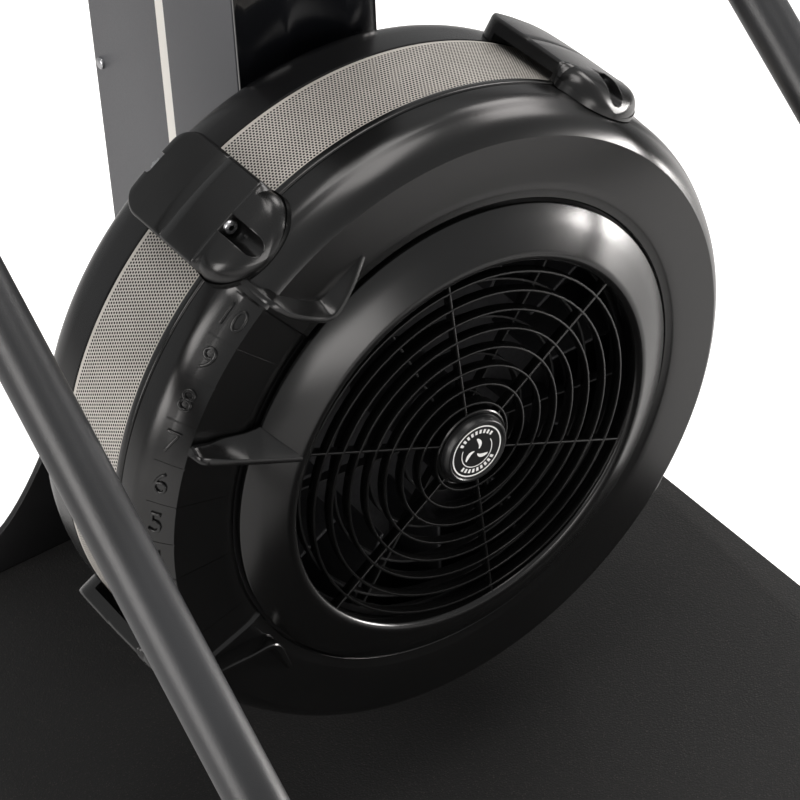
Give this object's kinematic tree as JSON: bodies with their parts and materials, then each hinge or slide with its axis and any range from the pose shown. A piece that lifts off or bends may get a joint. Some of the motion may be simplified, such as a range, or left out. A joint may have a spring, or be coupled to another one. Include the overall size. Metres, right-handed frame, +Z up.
{
  "type": "rowing machine",
  "caption": "Standing pull trainer with a drum-shaped air flywheel housing, damper dial, tall mast, slanted brace tubes and a flat platform.",
  "frame": {"origin": "on the floor, at the bottom centre of the bounding box", "axes": "+X to the right seen from the user, -Y towards the user, +Z up along the mast"},
  "size_m": [0.6256, 1.3232, 2.16],
  "materials": {
    "powder_coat": "satin",
    "satin_black": "satin",
    "gloss_black": "gloss",
    "charcoal_panel": "satin",
    "shell_grey": "satin",
    "silver_mesh": "satin",
    "steel": "satin",
    "cast_metal": "matte",
    "rubber": "matte",
    "screen": "gloss"
  },
  "bodies": {
    "stand": {"platform_frame": "powder_coat", "mast_foot": "powder_coat", "mast_column": "powder_coat", "cross_arm": "powder_coat", "brace_cross_tube": "powder_coat", "brace_saddle": "powder_coat", "brace_strap": "powder_coat", "brace_leg_left": "powder_coat", "brace_leg_right": "powder_coat", "gusset_left": "powder_coat", "gusset_right": "powder_coat", "platform_deck": "satin_black", "mast_rear_cover": "satin_black", "back_shell": "satin_black", "inner_guard": "satin_black", "hub_cap": "satin_black", "mast_cap": "satin_black", "monitor_bracket": "satin_black", "pulley_housing_left": "satin_black", "pulley_housing_right": "satin_black", "mast_front_cover": "gloss_black", "mast_panel_left": "charcoal_panel", "mast_panel_right": "charcoal_panel", "front_shell": "shell_grey", "front_bead": "shell_grey", "clamp_1": "shell_grey", "clamp_2": "shell_grey", "clamp_3": "shell_grey", "clamp_4": "shell_grey", "mesh_band": "silver_mesh", "front_bearing": "steel", "rear_bearing": "steel", "wheel_axle_left": "steel", "wheel_axle_right": "steel", "pulley_pin_left": "steel", "pulley_pin_right": "steel", "clamp_screw_1": "steel", "clamp_screw_2": "steel", "clamp_screw_3": "steel", "clamp_screw_4": "steel", "platform_mat": "rubber", "rubber_foot_front_left": "rubber", "rubber_foot_front_right": "rubber", "rubber_foot_rear_left": "rubber", "rubber_foot_rear_right": "rubber"},
    "damper": {"damper_dial": "satin_black"},
    "monitor": {"monitor_case": "satin_black", "monitor_screen": "screen"},
    "pulley_left_body": {"pulley_left": "satin_black"},
    "pulley_right_body": {"pulley_right": "satin_black"},
    "flywheel_set": {"flywheel_axle": "steel", "one_way_clutch": "steel", "flywheel": "cast_metal"},
    "drum": {"cord_drum": "cast_metal"},
    "wheel_left": {"transport_wheel_left": "rubber"},
    "wheel_right": {"transport_wheel_right": "rubber"},
    "handle_left_body": {"handle_left": "rubber"},
    "handle_right_body": {"handle_right": "rubber"},
    "button_1_body": {"button_1": "rubber"},
    "button_2_body": {"button_2": "rubber"}
  },
  "joints": [
    {"name": "damper_turn", "type": "hinge", "parent": "stand", "child": "damper", "pos_m": [0, 0.195, 0.347], "axis": [0, -1, 0], "range_deg": [-21, 42]},
    {"name": "flywheel_spin", "type": "hinge", "parent": "stand", "child": "flywheel_set", "pos_m": [0, 0.195, 0.347], "axis": [0, 1, 0], "continuous": true},
    {"name": "drum_spin", "type": "hinge", "parent": "stand", "child": "drum", "pos_m": [0, 0.195, 0.347], "axis": [0, 1, 0], "continuous": true},
    {"name": "pulley_left_spin", "type": "hinge", "parent": "stand", "child": "pulley_left_body", "pos_m": [-0.225, 0.425, 2.112], "axis": [1, 0, 0], "continuous": true},
    {"name": "handle_left_swing", "type": "hinge", "parent": "stand", "child": "handle_left_body", "pos_m": [-0.225, 0.4, 2.0608], "axis": [1, 0, 0], "range_deg": [-60, 60]},
    {"name": "transport_wheel_left_spin", "type": "hinge", "parent": "stand", "child": "wheel_left", "pos_m": [-0.257, 0.6316, 0.034], "axis": [1, 0, 0], "continuous": true},
    {"name": "pulley_right_spin", "type": "hinge", "parent": "stand", "child": "pulley_right_body", "pos_m": [0.225, 0.425, 2.112], "axis": [1, 0, 0], "continuous": true},
    {"name": "handle_right_swing", "type": "hinge", "parent": "stand", "child": "handle_right_body", "pos_m": [0.225, 0.4, 2.0608], "axis": [1, 0, 0], "range_deg": [-60, 60]},
    {"name": "transport_wheel_right_spin", "type": "hinge", "parent": "stand", "child": "wheel_right", "pos_m": [0.257, 0.6316, 0.034], "axis": [1, 0, 0], "continuous": true},
    {"name": "monitor_tilt", "type": "hinge", "parent": "stand", "child": "monitor", "pos_m": [0, 0.318, 1.5], "axis": [1, 0, 0], "range_deg": [-20, 30]},
    {"name": "button_1_press", "type": "slide", "parent": "monitor", "child": "button_1_body", "axis": [0, 1, 0], "range_m": [0, 0.0015], "stiffness_N_per_m": 600, "springref_m": -0.001},
    {"name": "button_2_press", "type": "slide", "parent": "monitor", "child": "button_2_body", "axis": [0, 1, 0], "range_m": [0, 0.0015], "stiffness_N_per_m": 600, "springref_m": -0.001}
  ]
}
